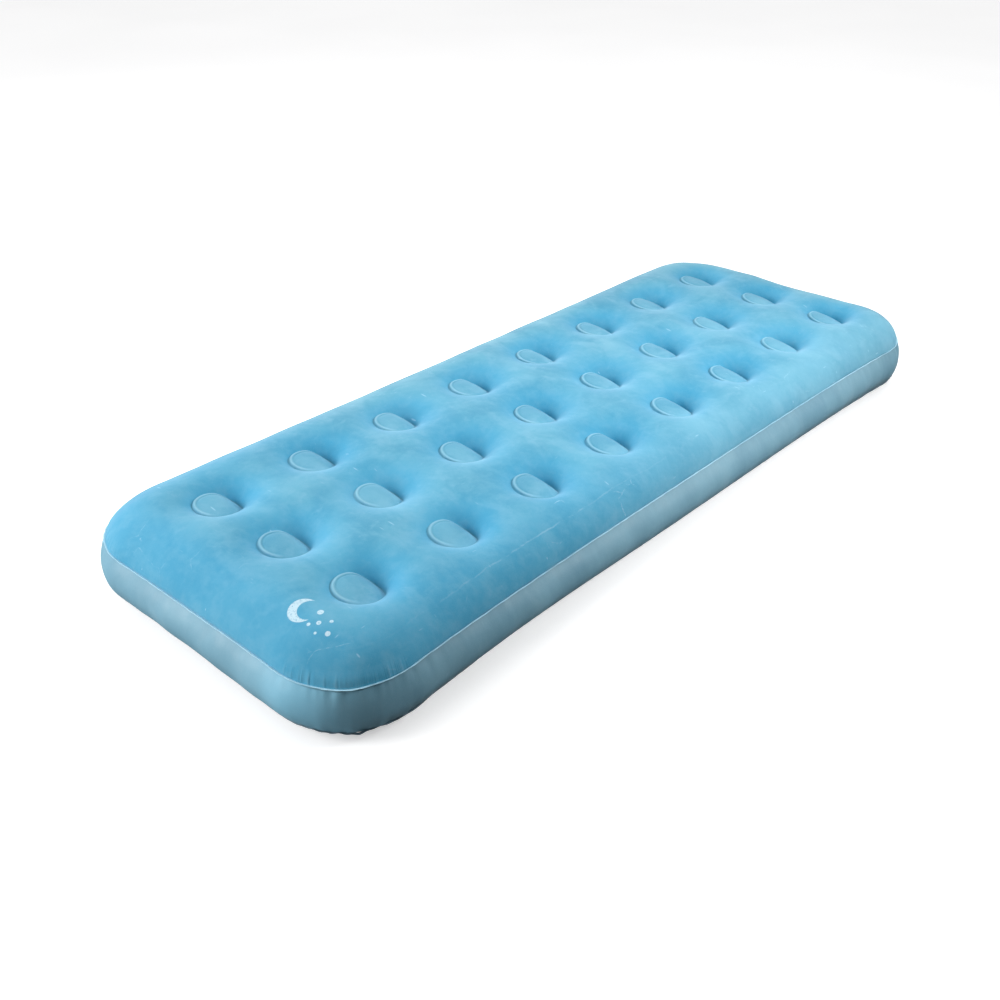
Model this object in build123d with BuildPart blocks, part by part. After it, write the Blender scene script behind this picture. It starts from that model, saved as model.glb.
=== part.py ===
from build123d import *
import math
import os

# Single flocked air mattress, inflated, with a two-stage screw valve.
# Frame: +Z up, +Y towards the head end, +X towards the sleeper's right.
# Origin: centre of the underside, on the floor plane. Millimetres.

# ---------------------------------------------------------------- driving sizes
LENGTH = 1870.0          # over the side wall, foot to head
WIDTH = 760.0            # over the side wall
HEIGHT = 176.0           # floor to the crest of the top sheet
PLAN_RADIUS = 170.0      # plan radius of the corners at the widest outline
FILM = 1.2               # film thickness

SEAM_TOP_Z = 104.0       # weld line between top sheet and side wall
SEAM_LOW_Z = 21.0        # weld line between side wall and bottom sheet
SEAM_INSET = 10.0        # how far the weld lines stand in from the widest outline
LIP = 4.0                # width of the weld lip that stands out of each seam
CROWN_R = 68.0           # edge radius of the crowned top sheet
BASE_R = 18.0            # edge radius of the bottom sheet

COLS = 3                 # coil columns across the width
ROWS = 8                 # coil rows along the length
COL_NAMES = ["left", "middle", "right"]
PITCH_X = 190.0
PITCH_Y = 212.0
GRID_X = 6.0             # the coil grid stands a little to the right
GRID_Y = 11.0            # and towards the head

TUBE_R = 36.0            # outer radius of an internal coil tube
TUBE_T = 1.0             # coil tube film
RING_R = 42.0            # outer radius of the welded coil rings
RING_T = 1.0             # coil ring thickness
VENT_R = 5.0             # air passage holes in a coil tube
VENT_Y_Z = 50.0          # height of the pair of vents along Y
VENT_X_Z = 96.0          # height of the pair of vents along X

TOP_DISC_Z = 146.0       # height of the welded discs in the top sheet
LOW_DISC_Z = 18.0        # height of the welded discs in the bottom sheet
DOME = 7.0               # how far air pressure domes each disc
TILT = 8.0               # degrees the top discs lean towards the head
DISH_SLOPE = 50.0        # degrees, wall slope of the recess round each disc
DISH_MARGIN = 1.0        # flat left round the coil ring
TOP_DISH_REACH = 62.0    # recess cutter heights, enough to clear the sheets
LOW_DISH_REACH = 40.0

VALVE_X = -165.0         # valve position on the head end wall
VALVE_Z = 62.5
WALL_Y = LENGTH / 2      # outer face of the head end wall
NECK_R = 24.0            # outer radius of the valve neck

os.makedirs("parts", exist_ok=True)


def save(builder, name):
    """Labels a finished piece and writes its STEP."""
    builder.part.label = name
    export_step(builder.part, f"parts/{name}.step")


def outline(inset):
    """Width, length and corner radius of the plan, standing in from the widest outline."""
    return WIDTH - 2 * inset, LENGTH - 2 * inset, PLAN_RADIUS - inset


# -------------------------------------------------------------------- coil grid
def top_disc_plane(x, y):
    """Plane of a top disc, facing up and leaning towards the head."""
    lean = math.radians(TILT)
    return Plane(
        origin=(x, y, TOP_DISC_Z),
        x_dir=(1, 0, 0),
        z_dir=(0, math.sin(lean), math.cos(lean)),
    )


coil_spots = [
    (GRID_X + (col - (COLS - 1) / 2) * PITCH_X, GRID_Y + (row - (ROWS - 1) / 2) * PITCH_Y)
    for row in range(ROWS)
    for col in range(COLS)
]
top_planes = [top_disc_plane(x, y) for x, y in coil_spots]
low_planes = [
    Plane(origin=(x, y, LOW_DISC_Z), x_dir=(1, 0, 0), z_dir=(0, 0, -1)) for x, y in coil_spots
]


# --------------------------------------------------------- top and bottom sheets
# Each sheet is an outer body less a hollow. The hollow is the same body made
# smaller by the film, so its recesses are grown by the film.
def dish(grow, reach):
    """Recess cutter: a cone whose floor is a domed disc inside a flat weld ring."""
    slope = math.radians(DISH_SLOPE)
    floor_r = RING_R + DISH_MARGIN + grow / math.sin(slope) - grow / math.tan(slope)
    floor_z = -grow
    mouth_r = floor_r + reach / math.tan(slope)
    mouth_z = reach - grow
    with BuildPart() as cutter:
        with BuildSketch(Plane.XZ):
            with BuildLine():
                ThreePointArc(
                    (0, floor_z + DOME),
                    (TUBE_R * 0.5, floor_z + DOME * 0.75),
                    (TUBE_R, floor_z),
                )
                Line((TUBE_R, floor_z), (floor_r, floor_z))
                Line((floor_r, floor_z), (mouth_r, mouth_z))
                Line((mouth_r, mouth_z), (0, mouth_z))
                Line((0, mouth_z), (0, floor_z + DOME))
            make_face()
        revolve(axis=Axis.Z)
    return cutter.part


def sheet_body(low_z, high_z, film, face_index, edge_radius, planes, reach):
    """Solid block, rounded at its lowest (0) or highest (-1) face, with all recesses."""
    cutter = dish(film, reach)
    with BuildPart() as body:
        with BuildSketch(Plane.XY.offset(low_z)):
            RectangleRounded(*outline(SEAM_INSET + film))
        extrude(amount=high_z - low_z)
        fillet(body.faces().sort_by(Axis.Z)[face_index].edges(), edge_radius - film)
        with Locations(*planes):
            add(cutter, mode=Mode.SUBTRACT)
    return body.part


def sheet(outer, hollow, lip_z):
    """Film sheet with a weld lip round its seam."""
    with BuildPart() as film_sheet:
        add(outer)
        with BuildSketch(Plane.XY.offset(lip_z)):
            RectangleRounded(*outline(SEAM_INSET - LIP))
        extrude(amount=FILM)
        add(hollow, mode=Mode.SUBTRACT)
    return film_sheet


top_style = (-1, CROWN_R, top_planes, TOP_DISH_REACH)
top_sheet = sheet(
    outer=sheet_body(SEAM_TOP_Z, HEIGHT, 0.0, *top_style),
    hollow=sheet_body(SEAM_TOP_Z, HEIGHT - FILM, FILM, *top_style),
    lip_z=SEAM_TOP_Z,
)
save(top_sheet, "top_sheet")

low_style = (0, BASE_R, low_planes, LOW_DISH_REACH)
bottom_sheet = sheet(
    outer=sheet_body(0.0, SEAM_LOW_Z, 0.0, *low_style),
    hollow=sheet_body(FILM, SEAM_LOW_Z, FILM, *low_style),
    lip_z=SEAM_LOW_Z - FILM,
)
save(bottom_sheet, "bottom_sheet")


# --------------------------------------------------------------- side wall band
def band_body(inset):
    """Solid block between the seams, rounded top and bottom, shrunk all round by inset."""
    with BuildPart() as body:
        with BuildSketch(Plane.XY.offset(SEAM_LOW_Z + inset)):
            RectangleRounded(*outline(inset))
        extrude(amount=SEAM_TOP_Z - SEAM_LOW_Z - 2 * inset)
        fillet(
            body.faces().sort_by(Axis.Z)[-1].edges() + body.faces().sort_by(Axis.Z)[0].edges(),
            SEAM_INSET - inset,
        )
    return body.part


band_outer = band_body(0)
band_hollow = band_body(FILM)
with BuildPart() as side_wall_band:
    add(band_outer)
    add(band_hollow, mode=Mode.SUBTRACT)
    # open the band above and below, leaving a weld margin of two films
    with BuildSketch(Plane.XY.offset(SEAM_LOW_Z - 1)):
        RectangleRounded(*outline(SEAM_INSET + 2 * FILM))
    extrude(amount=SEAM_TOP_Z - SEAM_LOW_Z + 2, mode=Mode.SUBTRACT)
    # hole for the valve neck, cut inwards from outside the wall
    with BuildSketch(
        Plane(origin=(VALVE_X, WALL_Y + 5, VALVE_Z), x_dir=(1, 0, 0), z_dir=(0, -1, 0))
    ):
        Circle(NECK_R + 0.1)
    extrude(amount=12, mode=Mode.SUBTRACT)
save(side_wall_band, "side_wall_band")

# ------------------------------------------------- internal coil tubes and rings
# Each coil is a tube of film between two welded rings; vents let air through.
RING_DEPTH = FILM + RING_T      # disc face to the inner face of its ring
VENT_REACH = 80.0               # vent cutters run this far either side of the tube's axis
tube_low = LOW_DISC_Z + RING_DEPTH
tube_high = TOP_DISC_Z - RING_DEPTH
with BuildPart() as coil_tube:
    with BuildSketch(Plane.XY.offset(tube_low)):
        Circle(TUBE_R)
        Circle(TUBE_R - TUBE_T, mode=Mode.SUBTRACT)
    extrude(amount=tube_high - tube_low + 20)
    # the open top follows the lean of the disc above it
    with BuildSketch(top_disc_plane(0, 0).offset(-RING_DEPTH)):
        Rectangle(160, 160)
    extrude(amount=60, mode=Mode.SUBTRACT)
    for side_plane, vent_z in ((Plane.XZ, VENT_Y_Z), (Plane.YZ, VENT_X_Z)):
        with BuildSketch(side_plane.offset(-VENT_REACH).move(Location((0, 0, vent_z)))):
            Circle(VENT_R)
        extrude(amount=2 * VENT_REACH, mode=Mode.SUBTRACT)

for index, (x, y) in enumerate(coil_spots):
    with BuildPart() as tube_here:
        with Locations((x, y, 0)):
            add(coil_tube.part)
    save(tube_here, f"coil_tube_row{index // COLS + 1}_{COL_NAMES[index % COLS]}")


def coil_rings(planes):
    """One weld ring against the inner face of the film at every disc."""
    with BuildPart() as rings:
        for plane in planes:
            with BuildSketch(plane.offset(-RING_DEPTH)):
                Circle(RING_R)
                Circle(TUBE_R - TUBE_T, mode=Mode.SUBTRACT)
            extrude(amount=RING_T)
    return rings


save(coil_rings(top_planes), "coil_top_rings")
save(coil_rings(low_planes), "coil_bottom_rings")

# -------------------------------------------------------------- valve dimensions
# The valve's own axis runs out of the head end wall. Depths are measured
# along +Y from the outer face of the wall.
NECK_BORE = 20.0         # radius of the seat's opening
NECK_IN = -13.0          # depth of the neck's inner end
NECK_OUT = 5.0           # depth of the neck's rim
NECK_STEP = 1.0          # the neck is this much slimmer inside the wall
SEAT_FLANGE_R = 31.0
SEAT_FLANGE_T = 2.0
SEAL_R = 23.0            # gasket under the core's flange
SEAL_T = 1.2
FLANGE_R = 27.0          # core's grip flange
FLANGE_T = 3.0
COLLAR_H = 5.0           # inflation collar above the core's flange
COLLAR_T = 3.0           # collar wall
PORT_R = 11.0            # nozzle seat
PORT_RELIEF_R = 12.0     # wider passage behind the nozzle seat
PORT_STEP = 1.0          # depth where the passage widens
SKIRT_R = 18.4           # threaded skirt
CORE_WALL = 1.6          # wall of the skirt and of the port tube
CORE_IN = -14.0          # depth of the core's inner end
THREAD_PITCH = 3.0
THREAD_IN = -8.0         # depth where the thread starts
THREAD_H = 9.0
EAR_X = 6.6              # inner face of each flap ear, from the valve's axis
FLAP_Z = 14.6            # height of the flap's trunnions above the valve's axis
FLAP_DEPTH = CORE_IN - 1.0      # depth of the trunnions
CAP_IN = 14.5            # inner radius of the cap's rim
CAP_OUT = 16.5           # outer radius of the cap's rim

seal_y = NECK_OUT + SEAL_T
flange_y = seal_y + FLANGE_T
collar_y = flange_y + COLLAR_H
cap_low_y = flange_y + 1.1      # open end of the cap, just clear of the strap

AXIS_POINT = (VALVE_X, WALL_Y, VALVE_Z)
valve_axis = Axis(AXIS_POINT, (0, 1, 0))
section = Plane(origin=AXIS_POINT, x_dir=(1, 0, 0), z_dir=(0, 0, 1))  # x radius, y depth


def valve_plane(depth):
    """Sketch plane square to the valve's axis, facing out of the wall; its +y is down."""
    return Plane(origin=(VALVE_X, WALL_Y + depth, VALVE_Z), x_dir=(1, 0, 0), z_dir=(0, 1, 0))


def trunnion_plane(half_length):
    """Plane across the trunnion line, facing +X, half_length left of the valve's axis."""
    return Plane(
        origin=(VALVE_X - half_length, WALL_Y + FLAP_DEPTH, VALVE_Z + FLAP_Z),
        x_dir=(0, 1, 0),
        z_dir=(1, 0, 0),
    )


# ------------------------------------------------------------------- valve seat
# Soft flange welded inside the wall, with a neck standing out through it.
with BuildPart() as valve_seat:
    with BuildSketch(section):
        with BuildLine():
            Polyline(
                (NECK_BORE, NECK_IN),
                (NECK_R - NECK_STEP, NECK_IN),
                (NECK_R - NECK_STEP, -FILM - SEAT_FLANGE_T),
                (SEAT_FLANGE_R, -FILM - SEAT_FLANGE_T),
                (SEAT_FLANGE_R, -FILM),
                (NECK_R, -FILM),
                (NECK_R, NECK_OUT),
                (NECK_BORE, NECK_OUT),
                close=True,
            )
        make_face()
    revolve(axis=valve_axis)
    rim = valve_seat.edges().filter_by(GeomType.CIRCLE).group_by(Axis.Y)[-1]
    chamfer(rim.sort_by(SortBy.RADIUS)[-1], 0.8)
save(valve_seat, "valve_seat")

# -------------------------------------------------------------------- core seal
with BuildPart() as core_seal:
    with BuildSketch(valve_plane(NECK_OUT)):
        Circle(SEAL_R)
        Circle(NECK_BORE + 0.3, mode=Mode.SUBTRACT)
    extrude(amount=SEAL_T)
save(core_seal, "core_seal")

# ------------------------------------------------------------------- valve core
# Threaded skirt, grip flange and inflation collar in one moulding.
with BuildPart() as valve_core:
    with BuildSketch(section):
        with BuildLine():
            Polyline(
                (PORT_RELIEF_R, CORE_IN),
                (PORT_RELIEF_R + CORE_WALL, CORE_IN),
                (PORT_RELIEF_R + CORE_WALL, seal_y),
                (SKIRT_R - CORE_WALL, seal_y),
                (SKIRT_R - CORE_WALL, CORE_IN + 4.0),
                (SKIRT_R, CORE_IN + 4.0),
                (SKIRT_R, seal_y),
                (FLANGE_R, seal_y),
                (FLANGE_R, flange_y),
                (PORT_R + COLLAR_T, flange_y),
                (PORT_R + COLLAR_T, collar_y),
                (PORT_R, collar_y),
                (PORT_R, PORT_STEP),
                (PORT_RELIEF_R, PORT_STEP),
                close=True,
            )
        make_face()
    revolve(axis=valve_axis)
    # finger scallops round the flange
    with BuildSketch(valve_plane(seal_y - 1)):
        with PolarLocations(29.2, 14):
            Circle(3.4)
    extrude(amount=FLANGE_T + 2, mode=Mode.SUBTRACT)
    # screw thread ridge, rooted slightly inside the skirt
    thread_start = (VALVE_X, WALL_Y + THREAD_IN, VALVE_Z)
    with BuildLine():
        helix = Helix(
            pitch=THREAD_PITCH,
            height=THREAD_H,
            radius=SKIRT_R - 0.3,
            center=thread_start,
            direction=(0, 1, 0),
        )
    radial = (helix @ 0) - Vector(*thread_start)
    with BuildSketch(Plane(origin=helix @ 0, x_dir=radial, z_dir=helix % 0)):
        Polygon((0, -0.8), (1.5, -0.4), (1.5, 0.4), (0, 0.8), align=None)
    sweep(path=helix, is_frenet=True)
    # ears that hold the check flap's trunnions, above the port's inner mouth
    for side in (-1, 1):
        ear_plane = Plane(
            origin=(VALVE_X + side * EAR_X, WALL_Y, VALVE_Z),
            x_dir=(0, 1, 0),
            z_dir=(side, 0, 0),
        )
        with BuildSketch(ear_plane):
            # the plane's y turns over with the side, so this is always upwards
            with Locations((CORE_IN + 0.2, side * 13.55)):
                Rectangle(4.4, 4.7)
        extrude(amount=1.6)
    # trunnion hole through both ears
    with BuildSketch(trunnion_plane(12.0)):
        Circle(0.56)
    extrude(amount=24, mode=Mode.SUBTRACT)
save(valve_core, "valve_core")

# ------------------------------------------------------------------- check flap
# Soft disc that covers the port's inner mouth and swings inwards.
with BuildPart() as check_flap:
    with BuildSketch(valve_plane(CORE_IN - 0.9)):
        Circle(12.9)
        with Locations((0, -13.5)):
            Rectangle(9.0, 3.0)
    extrude(amount=0.8)
    # barrel between the ears, then the thinner pin that runs through them
    for radius, half_length in ((0.8, 6.2), (0.5, 8.0)):
        with BuildSketch(trunnion_plane(half_length)):
            Circle(radius)
        extrude(amount=2 * half_length)
save(check_flap, "check_flap")

# -------------------------------------------------------------------- cap strap
# Ring round the collar, with a tongue towards the left.
with BuildPart() as cap_strap:
    with BuildSketch(valve_plane(flange_y)):
        Circle(17.4)
        with Locations((-18.7, 0)):
            Rectangle(5.8, 8.0)
        Circle(PORT_R + COLLAR_T + 0.05, mode=Mode.SUBTRACT)
    extrude(amount=1.0)
save(cap_strap, "cap_strap")

# -------------------------------------------------------------------- valve cap
# Fits over the collar.
with BuildPart() as valve_cap:
    with BuildSketch(section):
        with BuildLine():
            Polyline(
                (0, collar_y + 0.5),
                (CAP_IN, collar_y + 0.5),
                (CAP_IN, cap_low_y),
                (CAP_OUT, cap_low_y),
                (CAP_OUT, collar_y + 1.6),
                (CAP_OUT - 0.8, collar_y + 2.4),
                (0, collar_y + 2.4),
                close=True,
            )
        make_face()
    revolve(axis=valve_axis)
    # lug over the strap's tongue on the left, pull tab on the right
    with BuildSketch(valve_plane(cap_low_y)):
        with Locations((-18.8, 0)):
            Rectangle(5.8, 7.0)
        with Locations((18.6, 0)):
            RectangleRounded(8.0, 9.0, 2.5)
        Circle(CAP_OUT - 0.6, mode=Mode.SUBTRACT)
    extrude(amount=1.2)
save(valve_cap, "valve_cap")

# --------------------------------------------------------------------- cap seal
with BuildPart() as cap_seal:
    with BuildSketch(valve_plane(collar_y + 0.1)):
        Circle(CAP_IN - 0.2)
    extrude(amount=0.4)
save(cap_seal, "cap_seal")
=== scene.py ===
"""Flocked air bed with three columns of eight welded coils and a valve in its head wall.

It lies flat on the floor at z = 0: x runs across it (right is +x), y along it from the
foot (-y) to the head (+y). Shape values are in millimetres; meshes are written in metres.
"""
import math
import bpy
import numpy as np
from mathutils import Matrix, Vector


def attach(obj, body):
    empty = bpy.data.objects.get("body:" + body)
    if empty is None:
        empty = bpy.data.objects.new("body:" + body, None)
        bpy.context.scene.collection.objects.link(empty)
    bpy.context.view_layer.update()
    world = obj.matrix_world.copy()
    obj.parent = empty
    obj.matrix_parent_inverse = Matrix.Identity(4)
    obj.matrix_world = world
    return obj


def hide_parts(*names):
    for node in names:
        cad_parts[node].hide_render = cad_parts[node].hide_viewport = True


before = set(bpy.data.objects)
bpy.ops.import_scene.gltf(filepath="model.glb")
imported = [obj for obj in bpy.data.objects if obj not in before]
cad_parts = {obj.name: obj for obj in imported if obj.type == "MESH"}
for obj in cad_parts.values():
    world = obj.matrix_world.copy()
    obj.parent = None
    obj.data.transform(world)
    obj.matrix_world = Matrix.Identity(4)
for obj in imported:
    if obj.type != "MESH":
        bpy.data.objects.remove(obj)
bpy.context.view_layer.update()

MM = 0.001
WIDTH, LENGTH, CORNER = 760.0, 1870.0, 170.0     # widest outline and its corner radius
HALF_W, HALF_L = WIDTH / 2, LENGTH / 2
STRAIGHT_X, STRAIGHT_Y = HALF_W - CORNER, HALF_L - CORNER    # half of the straight sides
TOP_SEAM_Z, LOW_SEAM_Z = 104.0, 21.0
SEAM_RISE = 1.4                   # the upper weld line is higher midway along the long sides
LONG_PULL, SHORT_PULL = 6.8, 2.0  # extra inset of both weld lines midway along the sides
CREST_Z = 171.5
PITCH_X, PITCH_Y = 189.8, 212.4
GRID_X, GRID_Y = 6.3, 11.0        # centre of the coil grid
COLS, ROWS = 3, 8
DISC_RADIUS = 41.3
DISC_Z, LOW_DISC_Z = 147.0, 17.0
GROOVE_RADIUS, RIB_RADIUS = 33.9, 38.1    # weld band of a disc
VALVE_X, VALVE_Z = -165.0, 62.5
FILM = 0.9

SPOTS = [(GRID_X + (col - 1) * PITCH_X, GRID_Y + (row - (ROWS - 1) / 2) * PITCH_Y)
         for row in range(ROWS) for col in range(COLS)]


# ------------------------------------------------------------ shaping helpers
def clip01(value):
    return np.clip(value, 0, 1)


def rise(value, start, span):
    """0 up to start, then straight up to 1 over span."""
    return clip01((value - start) / span)


def smooth(t):
    return t * t * (3 - 2 * t)


def bell(value, centre, width, power=2):
    return np.exp(-(((value - centre) / width) ** power))


def strip(a, b, count, flip=False):
    """Quads between two closed rows of vertices that start at a and b."""
    quads = []
    for j in range(count):
        j1 = (j + 1) % count
        quad = (a + j, a + j1, b + j1, b + j)
        quads.append(quad[::-1] if flip else quad)
    return quads


def make_mesh(name, points, faces):
    me = bpy.data.meshes.new(name)
    me.from_pydata([tuple(p) for p in (np.asarray(points, float) * MM)], [], faces)
    me.update()
    me.polygons.foreach_set("use_smooth", np.ones(len(me.polygons), bool))
    ob = bpy.data.objects.new(name, me)
    bpy.context.scene.collection.objects.link(ob)
    return ob


def set_attr(ob, name, values):
    layer = ob.data.attributes.new(name, "FLOAT", "POINT")
    layer.data.foreach_set("value", np.asarray(values, np.float32))


# ------------------------------------------------------------------- outlines
def outline(side, t):
    """Points and outward normals on the widest outline, anticlockwise from above.

    Side 0 is the foot, 1 right, 2 head, 3 left; t runs 0..1 between the 45 degree
    points of the corners.
    """
    half, reach = (STRAIGHT_X, HALF_L) if side in (0, 2) else (STRAIGHT_Y, HALF_W)
    arc = math.pi / 4 * CORNER
    run = t * (2 * arc + 2 * half)
    before, after = run < arc, run > arc + 2 * half
    angle = np.where(before, (run - arc) / CORNER,
                     np.where(after, (run - arc - 2 * half) / CORNER, 0.0))
    ns, nn = np.sin(angle), np.cos(angle)
    ps = np.where(before, -half, np.where(after, half, run - arc - half)) + CORNER * ns
    pn = (reach - CORNER) + CORNER * nn
    along = {0: (1, 0), 1: (0, 1), 2: (-1, 0), 3: (0, -1)}[side]
    out = {0: (0, -1), 1: (1, 0), 2: (0, 1), 3: (-1, 0)}[side]
    return (ps * along[0] + pn * out[0], ps * along[1] + pn * out[1],
            ns * along[0] + nn * out[0], ns * along[1] + nn * out[1])


def loop(counts):
    """Closed loop round the outline as x, y, nx, ny; counts = segments per side."""
    sides = [outline(side, np.arange(n) / n) for side, n in enumerate(counts)]
    return [np.concatenate(column) for column in zip(*sides)]


def even_loop(step):
    arc = math.pi / 4 * CORNER
    lengths = [2 * arc + 2 * STRAIGHT_X, 2 * arc + 2 * STRAIGHT_Y] * 2
    return loop([max(8, int(round(length / step))) for length in lengths])


def arc_lengths(x, y):
    """Distance along a closed loop at each point, and the whole length."""
    step = np.hypot(np.roll(x, -1) - x, np.roll(y, -1) - y)
    arc = np.concatenate([[0], np.cumsum(step)[:-1]])
    return arc, arc[-1] + step[-1]


def wave(random, amp, count, arc, total):
    """A sine with count periods round the loop, of random height and phase."""
    return (amp * random.normal()
            * np.sin(2 * math.pi * count * arc / total + random.random() * 6.28))


def pull_weights(x, y, nx, ny):
    """Weights that are 1 midway along the long and the short sides, 0 at their ends."""
    u, v = clip01(np.abs(x) / HALF_W), clip01(np.abs(y) / HALF_L)
    return np.abs(nx) * clip01(1 - v**4), np.abs(ny) * clip01(1 - u**4)


def corner_weight(x, y, nx, ny):
    """1 on the corners."""
    return clip01(1.15 - np.maximum(*pull_weights(x, y, nx, ny))) ** 2


def seam_inset(x, y, nx, ny):
    """How far the weld lines stand in from the widest outline; less by the valve."""
    long_side, short_side = pull_weights(x, y, nx, ny)
    inset = 5.4 + 18.9 * np.maximum(long_side, short_side * 0.8)
    return inset * (1 - 0.62 * (bell(x, VALVE_X, 95.0) * clip01(ny)))


def pull_in(x, y, nx, ny, inset):
    """Moves outline points in by an inset and by the pull of the sides."""
    long_side, short_side = pull_weights(x, y, nx, ny)
    return (x - nx * inset - np.sign(x) * LONG_PULL * long_side * np.abs(nx),
            y - ny * inset - np.sign(y) * SHORT_PULL * short_side * np.abs(ny))


def seam_depth(x, y):
    """Distance inwards from the weld line."""
    over_x, over_y = np.abs(x) - STRAIGHT_X, np.abs(y) - STRAIGHT_Y
    qx, qy = np.maximum(over_x, 0), np.maximum(over_y, 0)
    size = np.hypot(qx, qy)
    depth = -(np.minimum(np.maximum(over_x, over_y), 0) + size - CORNER)
    size = size + 1e-9
    in_corner, side = (qx > 0) & (qy > 0), over_x > over_y
    nx = np.where(in_corner, qx / size, np.where(side, 1.0, 0.0)) * np.sign(x)
    ny = np.where(in_corner, qy / size, np.where(side, 0.0, 1.0)) * np.sign(y)
    long_side, short_side = pull_weights(x, y, nx, ny)
    return (depth - seam_inset(x, y, nx, ny) - LONG_PULL * long_side * np.abs(nx)
            - SHORT_PULL * short_side * np.abs(ny))


def low_seam(x, y):
    """Lower weld line: higher along the right side, lower at the foot right of centre."""
    side_rise = 7.0 * rise(x, 250.0, 100.0) * bell(y, -480.0, 250.0)
    foot_dip = 5.0 * bell(x, 150.0, 120.0) * rise(-y, 830.0, 70.0)
    return LOW_SEAM_Z + side_rise - foot_dip


# ---------------------------------------------------------------- disc shapes
# u and v are x and y from the centre of a disc
LEAN_HEAD = math.tan(math.radians(6.5))
LEAN_RIGHT = np.array([math.tan(math.radians(7.3 + 2.0 * (col - 1))) for col in range(COLS)])
DISC_RISE, DISC_DOME = 2.3, 4.6
FOLD_V, FOLD_SKEW, FOLD_SLOPE, FOLD_SOFT = 22.3, 0.03, 0.82, 5.0


def lip_weight(u, v):
    """Full on the foot-left arc of a disc, fading towards its right tip and the fold."""
    rho = np.hypot(u, v) + 1e-6
    return smooth(rise((-0.80 * u - 0.60 * v) / rho, -0.55, 0.95))


def disc_z(u, v, col):
    """Upper disc: domed, falling to the right and the head, its head side folded down."""
    rho = np.hypot(u, v)
    z = DISC_Z + DISC_RISE + DISC_DOME * (1 - (rho / DISC_RADIUS) ** 2)
    z = z - LEAN_HEAD * v - LEAN_RIGHT[col] * u
    past = v - FOLD_V + FOLD_SKEW * u
    z = z - FOLD_SLOPE * FOLD_SOFT * np.log1p(np.exp(np.clip(past / FOLD_SOFT, -30, 30)))
    # weld band: a groove, then a rounded lip, pressed flat where the sheet folds
    lip = lip_weight(u, v)
    z = z - 1.0 * lip * bell(rho, GROOVE_RADIUS, 1.3)
    return z + 1.0 * lip * bell(rho, RIB_RADIUS, 3.0, power=4)


def low_disc_z(u, v):
    rho = np.hypot(u, v)
    z = LOW_DISC_Z - 6.0 * (1 - (rho / DISC_RADIUS) ** 2)
    return z + 0.9 * bell(rho, GROOVE_RADIUS, 1.4) - 0.7 * bell(rho, RIB_RADIUS, 3.0, power=4)


# ----------------------------------------------------------------- sheet plan
SPOKES = 64
BORDER_ROWS = 15
# ring radii on a disc, on the sheet round it, then shares of the way to its square cell
DISC_RINGS = [7, 14, 20, 26, 30, 32.3, 33.9, 35.5, 37.9, 40.0, 41.1, 41.8, 42.9]
WALL_RINGS = [45.5, 48.5, 52.5, 57.5, 64]
CELL_BLEND = [0.2, 0.42, 0.66, 0.84, 1.0]


def cell_points():
    """A disc and the sheet round it: the centre, then rings that turn into the cell edge."""
    angle = np.radians(-135 + 360.0 / SPOKES * np.arange(SPOKES))
    quarter = SPOKES // 4
    t, one = np.arange(quarter) / quarter, np.ones(quarter)
    edge_x = np.concatenate([-1 + 2 * t, one, 1 - 2 * t, -one]) * PITCH_X / 2
    edge_y = np.concatenate([-one, -1 + 2 * t, one, 1 - 2 * t]) * PITCH_Y / 2
    rings = [np.zeros((1, 2))]
    for r in DISC_RINGS + WALL_RINGS:
        rings.append(np.c_[r * np.cos(angle), r * np.sin(angle)])
    r = WALL_RINGS[-1]
    for b in CELL_BLEND:
        rings.append(np.c_[(1 - b) * r * np.cos(angle) + b * edge_x,
                           (1 - b) * r * np.sin(angle) + b * edge_y])
    return np.concatenate(rings)


def border_points():
    """Rows from the weld line in to the edge of the coil grid."""
    across, down = COLS * SPOKES // 4, ROWS * SPOKES // 4
    x0, x1 = GRID_X - COLS * PITCH_X / 2, GRID_X + COLS * PITCH_X / 2
    y0, y1 = GRID_Y - ROWS * PITCH_Y / 2, GRID_Y + ROWS * PITCH_Y / 2
    s, t = np.arange(across) / across, np.arange(down) / down
    grid_x = np.concatenate([x0 + (x1 - x0) * s, np.full(down, x1),
                             x1 - (x1 - x0) * s, np.full(down, x0)])
    grid_y = np.concatenate([np.full(across, y0), y0 + (y1 - y0) * t,
                             np.full(across, y1), y1 - (y1 - y0) * t])
    around = loop([across, down, across, down])
    seam_x, seam_y = pull_in(*around, seam_inset(*around))
    rows = []
    for k in range(BORDER_ROWS + 1):
        f = 1 - math.cos(0.5 * math.pi * k / BORDER_ROWS)
        f = 0.35 * f + 0.65 * (k / BORDER_ROWS) ** 1.7    # finer near the weld line
        rows.append(np.c_[seam_x + (grid_x - seam_x) * f, seam_y + (grid_y - seam_y) * f])
    return rows


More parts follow.
